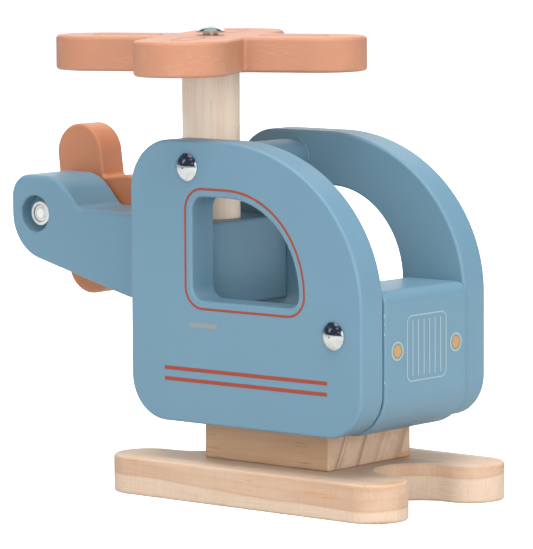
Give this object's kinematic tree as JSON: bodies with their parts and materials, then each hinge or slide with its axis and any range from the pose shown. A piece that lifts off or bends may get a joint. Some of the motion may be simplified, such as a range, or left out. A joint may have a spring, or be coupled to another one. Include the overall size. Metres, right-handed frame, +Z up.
{
  "type": "toy helicopter",
  "caption": "Wooden toy helicopter with open cabin between two window panels, slotted skid board, round mast and freely turning main and tail rotors.",
  "frame": {"origin": "centre of the skid board's underside, on the surface that the toy stands on", "axes": "+X towards the nose, +Y to the toy's left, where the tail rotor is, +Z up"},
  "size_m": [0.2069, 0.1024, 0.1595],
  "materials": {
    "blue_paint": "satin blue water-based paint on wood",
    "terracotta_paint": "satin terracotta paint on wood, faint grain showing",
    "natural_pine": "bare sanded pine",
    "natural_beech": "bare sanded beech dowel",
    "peg_beech": "bare beech pegs, glued",
    "polished_steel": "nickel-plated and polished",
    "plain_steel": "turned, nickel-plated",
    "zinc_steel": "zinc-plated"
  },
  "bodies": {
    "airframe": {"right_side_panel": "blue_paint", "left_side_panel": "blue_paint", "skid_board": "natural_pine", "pedestal_block": "natural_pine", "nose_block": "blue_paint", "mast_block": "blue_paint", "mast": "natural_beech", "roof_bar": "blue_paint", "tail_boom": "blue_paint", "main_rotor_screw": "polished_steel", "main_rotor_bush": "plain_steel", "main_rotor_washer": "plain_steel", "tail_rotor_bolt": "polished_steel", "tail_rotor_bush": "plain_steel", "tail_rotor_washer": "plain_steel", "tail_barrel_nut": "plain_steel", "roof_bar_screws": "polished_steel", "nose_block_screws": "polished_steel", "skid_screws": "zinc_steel", "pedestal_pegs": "peg_beech", "mast_block_pegs": "peg_beech", "nose_block_pegs": "peg_beech", "tail_boom_pegs": "peg_beech"},
    "main_rotor": {"main_rotor": "terracotta_paint"},
    "tail_rotor": {"tail_rotor": "terracotta_paint"}
  },
  "joints": [
    {"name": "main_rotor_spin", "type": "hinge", "parent": "airframe", "child": "main_rotor", "pos_m": [-0.0425, 0, 0.1499], "axis": [0, 0, 1], "continuous": true},
    {"name": "tail_rotor_spin", "type": "hinge", "parent": "airframe", "child": "tail_rotor", "pos_m": [-0.1153, 0.0205, 0.091], "axis": [0, 1, 0], "continuous": true}
  ]
}
